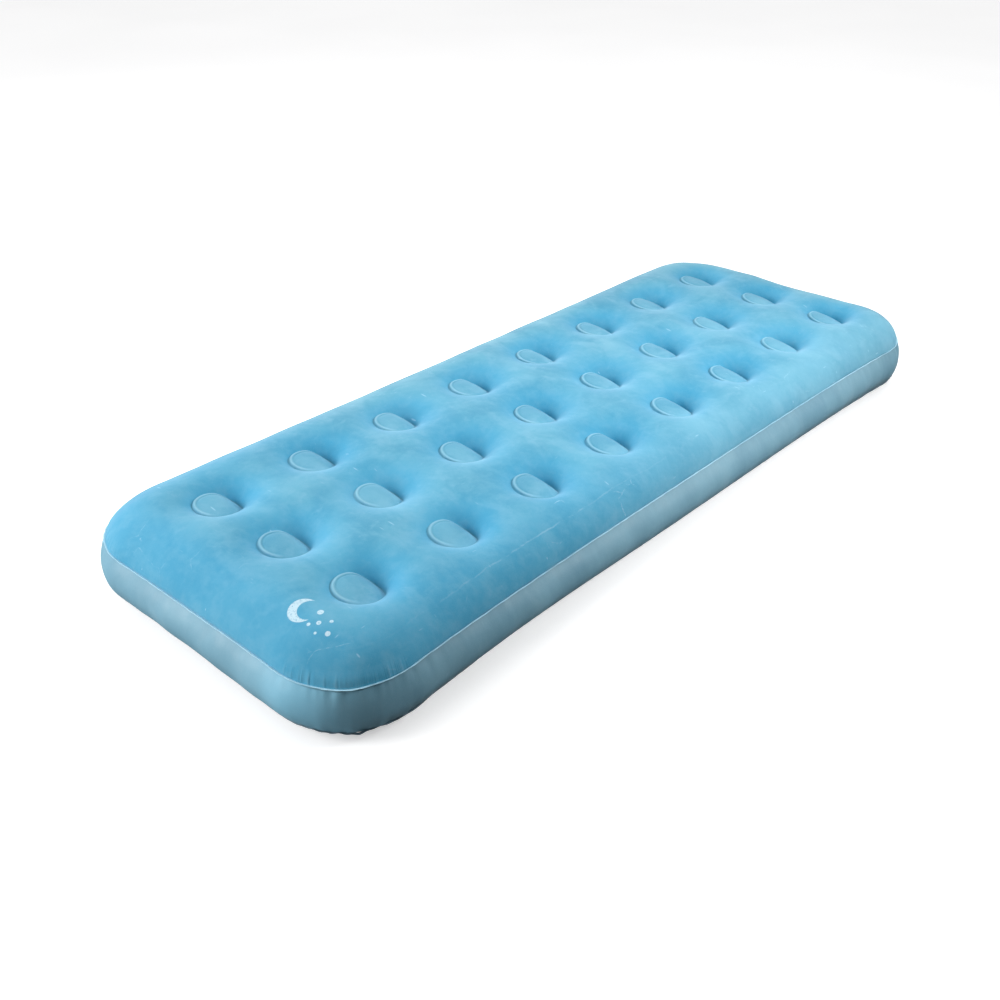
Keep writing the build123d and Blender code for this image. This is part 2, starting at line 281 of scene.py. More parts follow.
def sheet_plan():
    """Plan points, faces and owners: a disc's number, -1 free sheet, -2 the weld line."""
    points, faces, owner = [], [], []
    cell = cell_points()
    on_disc = np.arange(len(cell)) <= len(DISC_RINGS) * SPOKES
    for i, spot in enumerate(SPOTS):
        points.append(cell + np.array(spot))
        owner.append(np.where(on_disc, i, -1))
        base = i * len(cell)
        for j in range(SPOKES):
            faces.append((base, base + 1 + j, base + 1 + (j + 1) % SPOKES))
        for a in range(base + 1, base + len(cell) - SPOKES, SPOKES):
            b = a + SPOKES
            for j in range(SPOKES):
                j1 = (j + 1) % SPOKES
                faces.append((a + j, b + j, b + j1, a + j1))
    base = len(SPOTS) * len(cell)
    for k, row in enumerate(border_points()):
        points.append(row)
        owner.append(np.full(len(row), -1 if k else -2))
        if k:
            faces += strip(base - len(row), base, len(row))
        base += len(row)
    points, owner = np.concatenate(points), np.concatenate(owner)
    # merge the points that cells and border share
    key = np.floor(points * 40 + 0.317).astype(np.int64)
    _, first, merged = np.unique(key, axis=0, return_index=True, return_inverse=True)
    merged = merged.reshape(-1)
    return points[first], [tuple(int(merged[v]) for v in f) for f in faces], owner[first]


def laplacian_edges(points, faces):
    """Cotangent edge weights and lumped areas on the plan: (from, to, weight, area)."""
    triangles, share = [], []
    for f in faces:
        if len(f) == 3:
            triangles.append(f)
            share.append(1.0)
        else:
            # both ways of splitting the quad, each counted by half
            for a, b, c in ((0, 1, 2), (0, 2, 3), (0, 1, 3), (1, 2, 3)):
                triangles.append((f[a], f[b], f[c]))
                share.append(0.5)
    tri, share = np.array(triangles), np.array(share)
    start, end, weight = [], [], []
    area = np.zeros(len(points))
    for a, b, c in ((0, 1, 2), (1, 2, 0), (2, 0, 1)):
        e1, e2 = points[tri[:, a]] - points[tri[:, c]], points[tri[:, b]] - points[tri[:, c]]
        cross = np.abs(e1[:, 0] * e2[:, 1] - e1[:, 1] * e2[:, 0]) + 1e-9
        cot = np.clip((e1 * e2).sum(1) / cross, -2, 20)
        start.append(tri[:, a])
        end.append(tri[:, b])
        weight.append(0.5 * cot * share)
        area += np.bincount(tri[:, c], weights=cross / 6 * share, minlength=len(points))
    return np.concatenate(start), np.concatenate(end), np.concatenate(weight), area


def spread(fixed, value, reach):
    """Solves D - reach^2 lap D = 0 over the plan, with D given on fixed vertices.

    Conjugate gradients with a diagonal preconditioner.
    """
    start, end, weight, area = EDGES
    n = len(area)
    free = ~fixed
    screen = area / reach**2

    def apply(x):
        flow = (x[start] - x[end]) * weight
        return (np.bincount(start, weights=flow, minlength=n)
                - np.bincount(end, weights=flow, minlength=n) + screen * x)

    x = np.where(fixed, value, 0.0)
    diagonal = (np.bincount(start, weights=weight, minlength=n)
                + np.bincount(end, weights=weight, minlength=n) + screen)
    residual = np.where(free, -apply(x), 0.0)
    z = residual / diagonal
    direction = z.copy()
    rz = (residual * z).sum()
    for _ in range(700):
        image = np.where(free, apply(direction), 0.0)
        step = rz / ((direction * image).sum() + 1e-30)
        x += step * direction
        residual -= step * image
        z = residual / diagonal
        new_rz = (residual * z).sum()
        if new_rz < 1e-9:
            break
        direction = z + new_rz / rz * direction
        rz = new_rz
    return x


# -------------------------------------------------------------- sheet heights
CROWN_DEPTH = 137.0                # the sheets level out this far in from the weld
TOP_REACH, LOW_REACH = 52.0, 40.0  # how far the pull of a disc spreads
LOW_PLATEAU = -7.0
CORNER_DROP = 9.0
RIM_STEPS = (40.8, 41.5, 42.3)     # radii where a disc turns over into the sheet
NOISE_SHIFT = 3000


def crown(x, y, depth):
    """Share of the full height reached over the plan, without the discs."""
    k = clip01(depth / CROWN_DEPTH)
    f = clip01(1 - (1 - k) ** 2.0)
    corner = clip01((np.abs(x) / HALF_W) ** 2 * (np.abs(y) / HALF_L) ** 6 * 1.6)
    return f ** (0.53 + 0.14 * corner)


def value_noise(x, y, scale, seed):
    """Smooth value noise on the plan, repeatable."""
    size = 97
    g = np.random.default_rng(seed).random((size, size))
    u, v = x / scale, y / scale
    i, j = np.floor(u).astype(int), np.floor(v).astype(int)
    fu, fv = smooth(u - i), smooth(v - j)
    i0, i1, j0, j1 = i % size, (i + 1) % size, j % size, (j + 1) % size
    near = g[i0, j0] * (1 - fu) + g[i1, j0] * fu
    far = g[i0, j1] * (1 - fu) + g[i1, j1] * fu
    return near * (1 - fv) + far * fv - 0.5


PLAN, FACES, OWNER = sheet_plan()
EDGES = laplacian_edges(PLAN, FACES)
PLAN_X, PLAN_Y = PLAN[:, 0], PLAN[:, 1]
ON_DISC, FREE = OWNER >= 0, OWNER == -1
# place of each vertex in its disc; only meant for vertices on a disc
DISC_U, DISC_V = (PLAN - np.array(SPOTS)[np.maximum(OWNER, 0)]).T
RHO = np.hypot(DISC_U, DISC_V)
DEPTH = seam_depth(PLAN_X, PLAN_Y)
CROWN = crown(PLAN_X, PLAN_Y, DEPTH)


def top_heights():
    """Heights of the upper sheet, and how far the discs draw it down."""
    lip = lip_weight(DISC_U, DISC_V)
    lift = clip01((-0.85 * DISC_U - 0.45 * DISC_V) / 42.0)
    near, mid, far = RIM_STEPS
    target = disc_z(DISC_U, DISC_V, OWNER % COLS) - np.where(
        RHO > far, 0.3 + 1.2 * lip + 2.4 * lift, np.where(
            RHO > mid, 0.15 + 0.55 * lip + 1.5 * lift, np.where(
                RHO > near, 0.05 + 0.2 * lip, 0.0)))
    seam = TOP_SEAM_Z + SEAM_RISE * pull_weights(PLAN_X, PLAN_Y, np.sign(PLAN_X), 0 * PLAN_X)[0]
    low_corner = clip01((np.abs(PLAN_X) / HALF_W) ** 2 * (np.abs(PLAN_Y) / HALF_L) ** 5 * 2.2)
    low_corner = low_corner * np.where((PLAN_X > 0) & (PLAN_Y > 0), -1.4, 1.0)
    plateau = CREST_Z + 9.0
    for _ in range(3):
        # shift the plateau until the highest free sheet meets the crest
        full = seam + (plateau - seam - CORNER_DROP * low_corner) * CROWN
        drawn = spread(~FREE, np.where(ON_DISC, full - target, 0.0), TOP_REACH)
        height = full - drawn
        plateau += CREST_Z - np.sort(height[~ON_DISC])[-200:].mean()
    return height, drawn


def low_heights():
    """Heights of the lower sheet, never below the floor."""
    _, mid, far = RIM_STEPS
    target = low_disc_z(DISC_U, DISC_V) + np.where(RHO > far, 1.5, np.where(RHO > mid, 0.8, 0.0))
    seam = low_seam(PLAN_X, PLAN_Y)
    full = seam + (LOW_PLATEAU - seam) * CROWN
    raised = spread(~FREE, np.where(ON_DISC, target - full, 0.0), LOW_REACH)
    return np.maximum(full + raised, 0.0)


# ------------------------------------------------------------------ top sheet
CLOTH_FRAMES = 14
CLOTH_MAX_MOVE = 6.0
CLOTH = dict(
    quality=5, mass=0.25,
    tension_stiffness=40, compression_stiffness=30, shear_stiffness=12, bending_stiffness=0.6,
    tension_damping=12, compression_damping=12, shear_damping=10, bending_damping=1.0,
    air_damping=3, vertex_group_mass="pin", pin_stiffness=1.0,
    use_pressure=True, uniform_pressure_force=3.0,
)


def inflate(ob, base, pinned):
    """Cloth pass: pinned vertices hold, air presses on the rest, movement is capped."""
    group = ob.vertex_groups.new(name="pin")
    group.add([int(v) for v in np.nonzero(pinned)[0]], 1.0, "REPLACE")
    mod = ob.modifiers.new("cloth", "CLOTH")
    for key, value in CLOTH.items():
        setattr(mod.settings, key, value)
    mod.settings.effector_weights.gravity = 0.0
    mod.collision_settings.use_collision = False
    mod.collision_settings.use_self_collision = False
    mod.point_cache.frame_start = 1
    mod.point_cache.frame_end = CLOTH_FRAMES
    scene = bpy.context.scene
    for f in range(1, CLOTH_FRAMES + 1):
        scene.frame_set(f)
    graph = bpy.context.evaluated_depsgraph_get()
    result = ob.evaluated_get(graph).to_mesh()
    co = np.zeros(len(result.vertices) * 3)
    result.vertices.foreach_get("co", co)
    co = co.reshape(-1, 3) / MM
    ob.modifiers.clear()
    ob.vertex_groups.clear()
    scene.frame_set(1)
    move = co - base
    length = np.linalg.norm(move, axis=1)
    keep = np.minimum(1.0, CLOTH_MAX_MOVE / np.maximum(length, 1e-9))
    ob.data.vertices.foreach_set("co", ((base + move * keep[:, None]) * MM).reshape(-1))
    ob.data.update()


def seam_edge():
    """1 at the weld line, 0 from 120 mm in."""
    return clip01(1 - DEPTH / 120.0)


def top_sheet():
    height, drawn = top_heights()
    # faint unevenness of the filled sheet between the discs
    x, y = PLAN_X + NOISE_SHIFT, PLAN_Y + NOISE_SHIFT
    uneven = value_noise(x, y, scale=70, seed=3) * 2.2 + value_noise(x, y, scale=31, seed=5) * 0.9
    points = np.c_[PLAN, height]
    points[:, 2] += np.where(FREE, uneven * clip01(DEPTH / 40), 0)
    ob = make_mesh("top_sheet_flocked", points, FACES)
    inflate(ob, points, ~FREE)

    # masks for the material
    # painted shade masks: the foot crown, and the near right crown
    foot = smooth(rise(-PLAN_Y, 250.0, 420.0))
    near_right_shade = 0.85 * rise(PLAN_X, 150.0, 120.0) * rise(-PLAN_Y, -150.0, 400.0)
    lip = lip_weight(DISC_U, DISC_V)
    masks = {
        "edge": seam_edge(),
        "foot": np.maximum(foot * rise(1 - DEPTH / 150.0, 0.05, 0.6), near_right_shade),
        "crease": bell(PLAN_X, 285, 70.0) * bell(PLAN_Y, -420, 260.0),
        # painted highlight: pale sheen over the right crown
        "right_sheen": rise(PLAN_X, 215.0, 90.0) * rise(PLAN_Y, -350.0, 500.0),
        # painted shade in the dips round each disc
        "recess_shade": np.clip(drawn / 34.0, 0, 1.2) * FREE,
        "weld": np.where(ON_DISC, 1.0, 0.0),
        # painted highlight on the foot-left arc of each disc's rib
        "rim": np.where(ON_DISC, bell(RHO, 38.6, 2.0) * lip, 0.0),
        # painted highlight, rising towards the right and foot side of each disc
        "disc_highlight": np.where(ON_DISC, clip01(0.45 + (DISC_U - 0.3 * DISC_V) / 60.0), 0.0),
    }
    # the rim of the foot mask applies to both of its parts
    masks["foot"] = np.maximum(foot, near_right_shade) * rise(1 - DEPTH / 150.0, 0.05, 0.6)
    for name, values in masks.items():
        set_attr(ob, name, values)
    return ob


def bottom_sheet():
    ob = make_mesh("bottom_sheet_film", np.c_[PLAN, low_heights()], [f[::-1] for f in FACES])
    set_attr(ob, "edge", seam_edge())
    return ob


# -------------------------------------------------------------- side wall band
BAND_STEP = 4.2
BAND_ROWS = 26
SEAT_INNER, SEAT_OUTER = 33.5, 52    # flat seat round the valve and where it fades out
HOLE_RADIUS = 30.0                   # wall quads inside this are left out
NECK_RINGS = (29.0, 26.5, 24.25)     # rings that close in on the valve neck


def ripple(arc, total, seed, waves):
    """Sum of sines round the wall; waves = (wavelength, height)."""
    random = np.random.default_rng(seed)
    out = np.zeros_like(arc)
    for wavelength, amp in waves:
        n = max(1, int(round(total / wavelength)))
        for k in range(-2, 3):
            out += wave(random, amp, n + k * max(1, n // 9), arc, total)
    return out


def band_points(around):
    """Rows of the wall from the lower to the upper weld line, bulging between them."""
    x, y, nx, ny = around
    arc, total = arc_lengths(x, y)
    corner = corner_weight(*around)
    inset = seam_inset(*around)
    top_pucker = ripple(arc, total, 11, ((13, 0.22), (19, 0.32), (34, 0.40)))
    low_pucker = ripple(arc, total, 12, ((24, 0.55), (43, 0.6)))
    flutes = ripple(arc, total, 13, ((90, 0.30), (160, 0.45)))
    top_z = TOP_SEAM_Z + SEAM_RISE * pull_weights(*around)[0]
    low_z = low_seam(x, y)
    levels = np.linspace(-1, 1, BAND_ROWS + 1)
    levels = np.sign(levels) * (1 - (1 - np.abs(levels)) ** 1.25)
    rows = []
    for t in levels:
        near_top = np.exp(-(1 - t) / 0.28)
        near_low = np.exp(-(1 + t) / 0.34)
        hump = top_pucker * near_top * (0.20 + 2.0 * corner) * min(1.0, (1 - t) / 0.07)
        hump = hump + (low_pucker * near_low * (0.08 + 2.0 * corner)
                       * min(1.0, (1 + t) / 0.05 + 0.35))
        hump = hump + flutes * (1 - t * t) * 0.8
        wall_x, wall_y = pull_in(*around, inset * abs(t) ** 2.0 - hump)
        z = low_z + (top_z - low_z) * (t + 1) / 2
        rows.append(np.c_[wall_x, wall_y, z + low_pucker * near_low * 0.9 * (0.08 + corner)])
    return np.concatenate(rows)


def neck_opening(points, faces, hole, per_row):
    """Closes the gap round the valve with rings that end on its neck; adds to faces."""
    used = {(q[i], q[(i + 1) % 4]) for q in faces for i in range(4)}
    follow = {b: a for a, b in used
              if (b, a) not in used and hole[a] < 60 and hole[b] < 60
              and 0 < a // per_row < BAND_ROWS and 0 < b // per_row < BAND_ROWS}
    start = min(follow)
    ring = [start]
    while follow[ring[-1]] != start:
        ring.append(follow[ring[-1]])
    angles = np.arctan2(points[ring, 2] - VALVE_Z, points[ring, 0] - VALVE_X)
    added = []
    for r in NECK_RINGS:
        base = len(points) + len(added)
        added += [(VALVE_X + r * math.cos(a), HALF_L, VALVE_Z + r * math.sin(a)) for a in angles]
        new = list(range(base, base + len(ring)))
        for i in range(len(ring)):
            i1 = (i + 1) % len(ring)
            faces.append((ring[i], ring[i1], new[i1], new[i]))
        ring = new
    return np.concatenate([points, np.array(added)])


def side_wall():
    around = even_loop(BAND_STEP)
    per_row = len(around[0])
    points = band_points(around)
    # a flat seat in the head wall round the valve
    from_valve = np.hypot(points[:, 0] - VALVE_X, points[:, 2] - VALVE_Z)
    at_head = points[:, 1] > HALF_L - 60
    seat = np.where(at_head, smooth(rise(-from_valve, -SEAT_OUTER, SEAT_OUTER - SEAT_INNER)), 0)
    points[:, 1] += seat * (HALF_L - points[:, 1])
    hole = np.where(at_head, from_valve, 999)
    faces = []
    for k in range(BAND_ROWS):
        faces += [q for q in strip(k * per_row, (k + 1) * per_row, per_row)
                  if min(hole[v] for v in q) >= HOLE_RADIUS]
    points = neck_opening(points, faces, hole, per_row)
    # drop the points left inside the opening
    used = np.zeros(len(points), bool)
    for q in faces:
        used[list(q)] = True
    remap = np.cumsum(used) - 1
    points = points[used]
    faces = [tuple(int(remap[v]) for v in q) for q in faces]
    ob = make_mesh("side_wall_film", points, faces)

    # masks for the material
    x, y, z = points.T
    over_x, over_y = np.maximum(abs(x) - STRAIGHT_X, 0), np.maximum(abs(y) - STRAIGHT_Y, 0)
    facing = over_x / (np.hypot(over_x, over_y) + 1e-6)
    # up and flank place the painted shade low on the wall and on the right flank
    set_attr(ob, "up", rise(z, LOW_SEAM_Z, TOP_SEAM_Z - LOW_SEAM_Z))
    set_attr(ob, "flank", clip01(facing) * (x > 0))
    # turn marks the corners, where the painted shadow under the upper weld is strongest
    set_attr(ob, "turn", rise(np.abs(x), 235, 90) * rise(np.abs(y), 790, 90))
    # bend places the painted light at the foot's right bend
    set_attr(ob, "bend", bell(x, 262, 80.0) * bell(y, -905, 80.0))
    return ob


# ------------------------------------------------------------------ weld lips
LIP_STEP = 3.2
# section: (outwards, up); positive outwards is in lip widths, negative in mm, up in thicknesses
LIP_PROFILE = [(-2.2, 0.0), (-1.2, 0.55), (0.35, 0.5), (0.8, 0.38),
               (1.0, 0.0), (0.8, -0.38), (0.35, -0.5), (-1.2, -0.55)]
LIP_WAVES = ((23, 0.30), (57, 0.35), (140, 0.3))    # wavelength, height


def weld_lip(name, upper, width, thick, seed, waviness, tip_rise):
    """A thin welded lip standing out of a seam: rounded section swept round the outline."""
    around = even_loop(LIP_STEP)
    x, y, nx, ny = around
    seam_x, seam_y = pull_in(*around, seam_inset(*around))
    arc, total = arc_lengths(x, y)
    random = np.random.default_rng(seed)
    sway, extra = np.zeros_like(arc), np.zeros_like(arc)
    for wavelength, amp in LIP_WAVES:
        for k in range(3):
            count = int(round(total / wavelength)) + k * 7
            sway += wave(random, amp, count, arc, total)
            extra += wave(random, 0.35 * amp, count, arc, total)
    corner = corner_weight(*around)
    sway *= waviness * ((0.4 if upper else 0.06) + 1.6 * corner)
    if upper:
        z = TOP_SEAM_Z + SEAM_RISE * pull_weights(*around)[0] + sway
    else:
        extra = extra * (0.25 + 0.75 * corner) - 0.5 * width * (1 - corner)
        z = low_seam(x, y) + sway
    points, faces = [], []
    n, rows = len(x), len(LIP_PROFILE)
    for i, (out, up) in enumerate(LIP_PROFILE):
        tip = tip_rise * out * out if out > 0 else 0
        reach = out * (width + extra) if out > 0 else out
        points.append(np.c_[seam_x + nx * reach, seam_y + ny * reach, z + up * thick + tip])
        faces += strip(i * n, (i + 1) % rows * n, n, flip=True)
    return make_mesh(name, np.concatenate(points), faces)


def thicken(ob):
    """Gives a sheet its film thickness, applied to the mesh."""
    mod = ob.modifiers.new("film", "SOLIDIFY")
    mod.thickness = FILM * MM
    mod.offset = -1
    mod.use_even_offset = False
    mod.use_rim = True
    bpy.context.view_layer.update()
    graph = bpy.context.evaluated_depsgraph_get()
    me = bpy.data.meshes.new_from_object(ob.evaluated_get(graph), preserve_all_data_layers=True,
                                         depsgraph=graph)
    old = ob.data
    ob.modifiers.clear()
    ob.data = me
    bpy.data.meshes.remove(old)


# ------------------------------------------------------ internal coils, rings
TUBE_SPOKES, TUBE_LEVELS = 48, 15
TUBE_RADIUS, TUBE_WAIST, TUBE_FILM = 35.6, 4.5, 0.8
TUBE_GAP = 3.4                       # from a sheet's disc to the end of the tube
RING_SPOKES = 64
RING_INNER, RING_OUTER = 35.0, 41.4
RING_NEAR, RING_FAR = 1.6, 2.4       # faces of the ring, inwards from the sheet's disc
COL_NAMES = ["left", "middle", "right"]


def coil_tube(name, i):
    """Waisted tube between the two discs of a spot."""
    cx, cy = SPOTS[i]
    n, m = TUBE_SPOKES, TUBE_LEVELS
    a = 2 * math.pi * np.arange(n) / n
    u, v = TUBE_RADIUS * np.cos(a), TUBE_RADIUS * np.sin(a)
    high = disc_z(u, v, i % COLS) - TUBE_GAP
    low = low_disc_z(u, v) + TUBE_GAP
    points, faces = [], []
    for offset in (0.0, -TUBE_FILM):
        for t in np.linspace(0, 1, m):
            r = TUBE_RADIUS - TUBE_WAIST * math.sin(math.pi * t) ** 0.8 + offset
            points.append(np.c_[cx + r * np.cos(a), cy + r * np.sin(a), low + (high - low) * t])
    for shell in range(2):
        for k in range(m - 1):
            row = (shell * m + k) * n
            faces += strip(row, row + n, n, flip=shell == 1)
    for k, flip in ((0, True), (m - 1, False)):
        faces += strip(k * n, (m + k) * n, n, flip)
    return make_mesh(name, np.concatenate(points), faces)


def coil_rings(name, upper):
    """Flat rings under the upper discs or over the lower ones, as one mesh."""
    n = RING_SPOKES
    a = 2 * math.pi * np.arange(n) / n
    section = ((RING_INNER, RING_NEAR), (RING_OUTER, RING_NEAR),
               (RING_OUTER, RING_FAR), (RING_INNER, RING_FAR))
    points, faces = [], []
    for i, (cx, cy) in enumerate(SPOTS):
        for k, (r, gap) in enumerate(section):
            u, v = r * np.cos(a), r * np.sin(a)
            z = disc_z(u, v, i % COLS) - gap if upper else low_disc_z(u, v) + gap
            points.append(np.c_[cx + u, cy + v, z])
            base = i * 4 * n
            faces += strip(base + k * n, base + (k + 1) % 4 * n, n, flip=upper)
    return make_mesh(name, np.concatenate(points), faces)


# --------------------------------------------------------------- build pieces
top = top_sheet()
bottom = bottom_sheet()
band = side_wall()
lip_top = weld_lip("weld_lip_top", upper=True, width=2.5, thick=1.2, seed=21,
                   waviness=0.5, tip_rise=0.5)
lip_low = weld_lip("weld_lip_bottom", upper=False, width=3.0, thick=1.3, seed=22,
                   waviness=1.3, tip_rise=-0.6)
for sheet in (top, bottom, band):
    thicken(sheet)

coils = []
for i in range(len(SPOTS)):
    node = f"coil_tube_row{i // COLS + 1}_{COL_NAMES[i % COLS]}"
    coil = coil_tube(f"{node}_film", i)
    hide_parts(node)
    coils.append(coil)
ring_top = coil_rings("coil_top_rings_film", upper=True)
ring_low = coil_rings("coil_bottom_rings_film", upper=False)
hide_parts("coil_top_rings")
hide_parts("coil_bottom_rings")
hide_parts("top_sheet")
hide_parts("bottom_sheet")
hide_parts("side_wall_band")


# ----------------------------------------------------------- material helpers
def add_node(tree, kind, inputs=(), **props):
    """Adds a shader node; inputs maps input names or numbers to values or sockets."""
    node = tree.nodes.new("ShaderNode" + kind)
    for key, value in props.items():
        setattr(node, key, value)
    plug(tree, node, inputs)
    return node


def plug(tree, node, inputs):
    for key, value in dict(inputs).items():
        if isinstance(value, bpy.types.NodeSocket):
            tree.links.new(value, node.inputs[key])
        else:
            node.inputs[key].default_value = value


def srgb(*rgb):
    """Linear colour with alpha 1 from 0-255 sRGB values."""
    def linear(c):
        return c / 12.92 if c <= 0.04045 else ((c + 0.055) / 1.055) ** 2.4
    return (*(linear(v / 255.0) for v in rgb), 1.0)


class Mat:
    """A Principled material whose base colour is built up in self.colour."""

    def __init__(self, name):
        self.material = bpy.data.materials.new(name)
        self.material.use_nodes = True
        self.tree = self.material.node_tree
        self.tree.nodes.clear()
        out = self.node("OutputMaterial")
        self.bsdf = self.node("BsdfPrincipled")
        self.tree.links.new(self.bsdf.outputs[0], out.inputs[0])
        self.coords = self.node("TexCoord").outputs["Object"]

    def node(self, kind, inputs=(), **props):
        return add_node(self.tree, kind, inputs, **props)

    def shade(self, inputs):
        plug(self.tree, self.bsdf, inputs)

    def math(self, op, a, b=0.0, c=None, clamp=False):
        inputs = {0: a, 1: b} if c is None else {0: a, 1: b, 2: c}
        return self.node("Math", inputs, operation=op, use_clamp=clamp).outputs[0]

    def times(self, a, b):
        return self.math("MULTIPLY", a, b)

    def linear(self, value, gain, offset):
        return self.math("MULTIPLY_ADD", value, gain, offset)

    def mapping(self, scale, turn=0.0):
        return self.node("Mapping", {0: self.coords, 2: (0, 0, turn), 3: scale}).outputs[0]

    def noise(self, scale=1.0, detail=3.0, rough=0.55, warp=0.0, vec=None, stretch=None, turn=0.0):
        """Noise on vec, or on object coordinates stretched and turned about z."""
        if stretch:
            vec = self.mapping(stretch, turn)
        return self.node("TexNoise", {
            "Vector": vec or self.coords, "Scale": scale, "Detail": detail,
            "Roughness": rough, "Distortion": warp}).outputs[0]

    def ramp(self, value, low, high, start=0.0, end=1.0):
        """Smooth step from start at low to end at high."""
        return self.node("MapRange", {0: value, 1: low, 2: high, 3: start, 4: end},
                         interpolation_type="SMOOTHSTEP").outputs[0]

    def fall(self, value, low, high):
        return self.ramp(value, low, high, start=1.0, end=0.0)

    def cloud(self, low, high, start=0.0, end=1.0, **noise):
        """Noise put through a ramp."""
        return self.ramp(self.noise(**noise), low, high, start, end)

    def mix(self, mask, a, b):
        return self.node("Mix", {0: mask, 6: a, 7: b}, data_type="RGBA",
                         blend_type="MIX").outputs[2]

    def tint(self, mask, rgb, amount=None):
        """Lays an sRGB colour over the base colour where the mask is set."""
        if amount is not None:
            mask = self.times(mask, amount)
        self.colour = self.mix(mask, self.colour, srgb(*rgb))

    def attr(self, name):
        return self.node("Attribute", attribute_name=name).outputs["Fac"]

    def bump(self, height, strength, distance, under=None):
        inputs = {"Strength": strength, "Distance": distance, "Height": height}
        if under is not None:
            inputs["Normal"] = under
        return self.node("Bump", inputs).outputs[0]


# -------------------------------------------------------------- flocked sheet
PRINT_SOFT = 0.0006                         # softness of the printed edges, metres
# printed crescent: circle, and the circle cut from it; then dots: x, y, radius
CRESCENT = ((196, -838, 25), (205, -831, 21.5))
DOTS = ((222, -826, 5.2), (237, -842, 3.8), (226, -853, 3.0),
        (250, -828, 3.0), (262, -846, 4.2), (246, -857, 2.2))


def flock_tones(k):
    k.colour = k.mix(k.cloud(scale=7.0, detail=4.0, rough=0.6, warp=0.6, low=0.36, high=0.66),
                     srgb(65, 144, 174), srgb(97, 166, 190))
    # nap brushed in different directions: soft pale smears
    k.tint(k.cloud(stretch=(11, 20, 14), turn=0.6, warp=0.5, low=0.5, high=0.72),
           (138, 188, 206), amount=0.34)
    k.tint(k.cloud(stretch=(42, 26, 30), turn=-0.35, detail=4.0, rough=0.62, warp=0.3,
                   low=0.54, high=0.75), (148, 194, 211), amount=0.22)
    # painted shade: a deeper, more saturated tone where the sheet dips round each disc, and on the
    # foot crown and the near right crown
    k.tint(k.ramp(k.attr("recess_shade"), low=0.15, high=0.85), (62, 163, 205), amount=0.64)
    k.tint(k.attr("foot"), (58, 156, 198), amount=0.62)
    # painted highlight: pale patches of sheen on the right crown
    right_sheen = k.times(k.attr("right_sheen"), k.cloud(scale=6.0, detail=4.0, low=0.35, high=0.65, start=0.6))
    k.tint(right_sheen, (130, 192, 218), amount=0.42)
    # cloudy nap and small pale flecks
    k.tint(k.cloud(scale=36.0, detail=7.0, rough=0.66, warp=0.2, low=0.40, high=0.70, end=0.15),
           (140, 192, 212))
    k.tint(k.cloud(scale=19.0, detail=5.0, rough=0.6, low=0.52, high=0.75, end=0.18),
           (62, 142, 178))
    # weld discs in their own tone, then painted highlights: a pale side towards the right and foot
    # of each disc, and the pale foot-left arc of its rib
    k.tint(k.attr("weld"), (72, 156, 192), amount=0.32)
    disc_highlight = k.cloud(scale=30.0, detail=4.0, rough=0.6, low=0.35, high=0.65, start=0.10, end=0.46)
    k.tint(k.times(k.attr("disc_highlight"), disc_highlight), (132, 188, 210))
    # painted highlight on the foot-left arc of each rib
    k.tint(k.attr("rim"), (160, 206, 224), amount=0.60)


def scuff_lines(k, edge):
    """Broken lines along warped cell borders, stronger near the weld line."""
    shift = k.node("TexNoise", {"Vector": k.coords, "Scale": 16})
    shift = k.node("VectorMath", {0: shift.outputs["Color"], "Scale": 0.035}, operation="SCALE")
    warped = k.node("VectorMath", {0: k.coords, 1: shift.outputs[0]}, operation="ADD")
    cells = k.node("TexVoronoi", {"Scale": 13}, feature="DISTANCE_TO_EDGE")
    plug(k.tree, cells, {"Vector": warped.outputs[0]})
    line = k.fall(cells.outputs["Distance"], low=0.004, high=0.016)
    patch = k.cloud(scale=8.0, detail=2.0, low=0.54, high=0.62)
    rim = k.ramp(edge, low=0.05, high=0.6)
    scuff = k.math("MULTIPLY", k.times(line, patch), k.linear(rim, gain=0.85, offset=0.15),
                   clamp=True)
    return k.times(scuff, k.cloud(scale=140.0, low=0.42, high=0.58))


def scratches(k, stretch, turn, low, high, patch):
    """Short stray scratches inside noise patches."""
    cells = k.node("TexVoronoi", {"Vector": k.mapping(stretch, turn), "Scale": 1.0}, feature="F1")
    return k.times(k.fall(cells.outputs["Distance"], low, high), k.cloud(**patch))


def flock_marks(k, edge, scuff):
    k.tint(scuff, (176, 216, 232), amount=k.linear(k.attr("crease"), gain=0.75, offset=0.24))
    ticks = scratches(k, stretch=(10, 62, 34), turn=0.9, low=0.05, high=0.11,
                      patch=dict(scale=9.0, detail=2.0, low=0.50, high=0.58))
    k.tint(ticks, (176, 217, 236), amount=0.46)
    ticks = scratches(k, stretch=(70, 12, 40), turn=-0.35, low=0.04, high=0.09,
                      patch=dict(scale=7.0, detail=2.0, low=0.48, high=0.58))
    ticks = k.times(ticks, k.ramp(edge, low=0.0, high=0.7, start=0.25))
    k.tint(ticks, (176, 217, 236), amount=0.48)
    # a broken crease running beside the weld on the right side
    wander = k.linear(k.noise(scale=9.0, detail=5.0, rough=0.6), gain=0.16, offset=edge)
    run = k.math("ABSOLUTE", k.math("SUBTRACT", wander, 0.785))
    run = k.times(k.fall(run, low=0.004, high=0.016),
                  k.cloud(scale=31.0, detail=5.0, rough=0.65, low=0.38, high=0.60))
    k.tint(k.times(run, k.attr("crease")), (186, 222, 236), amount=0.30)


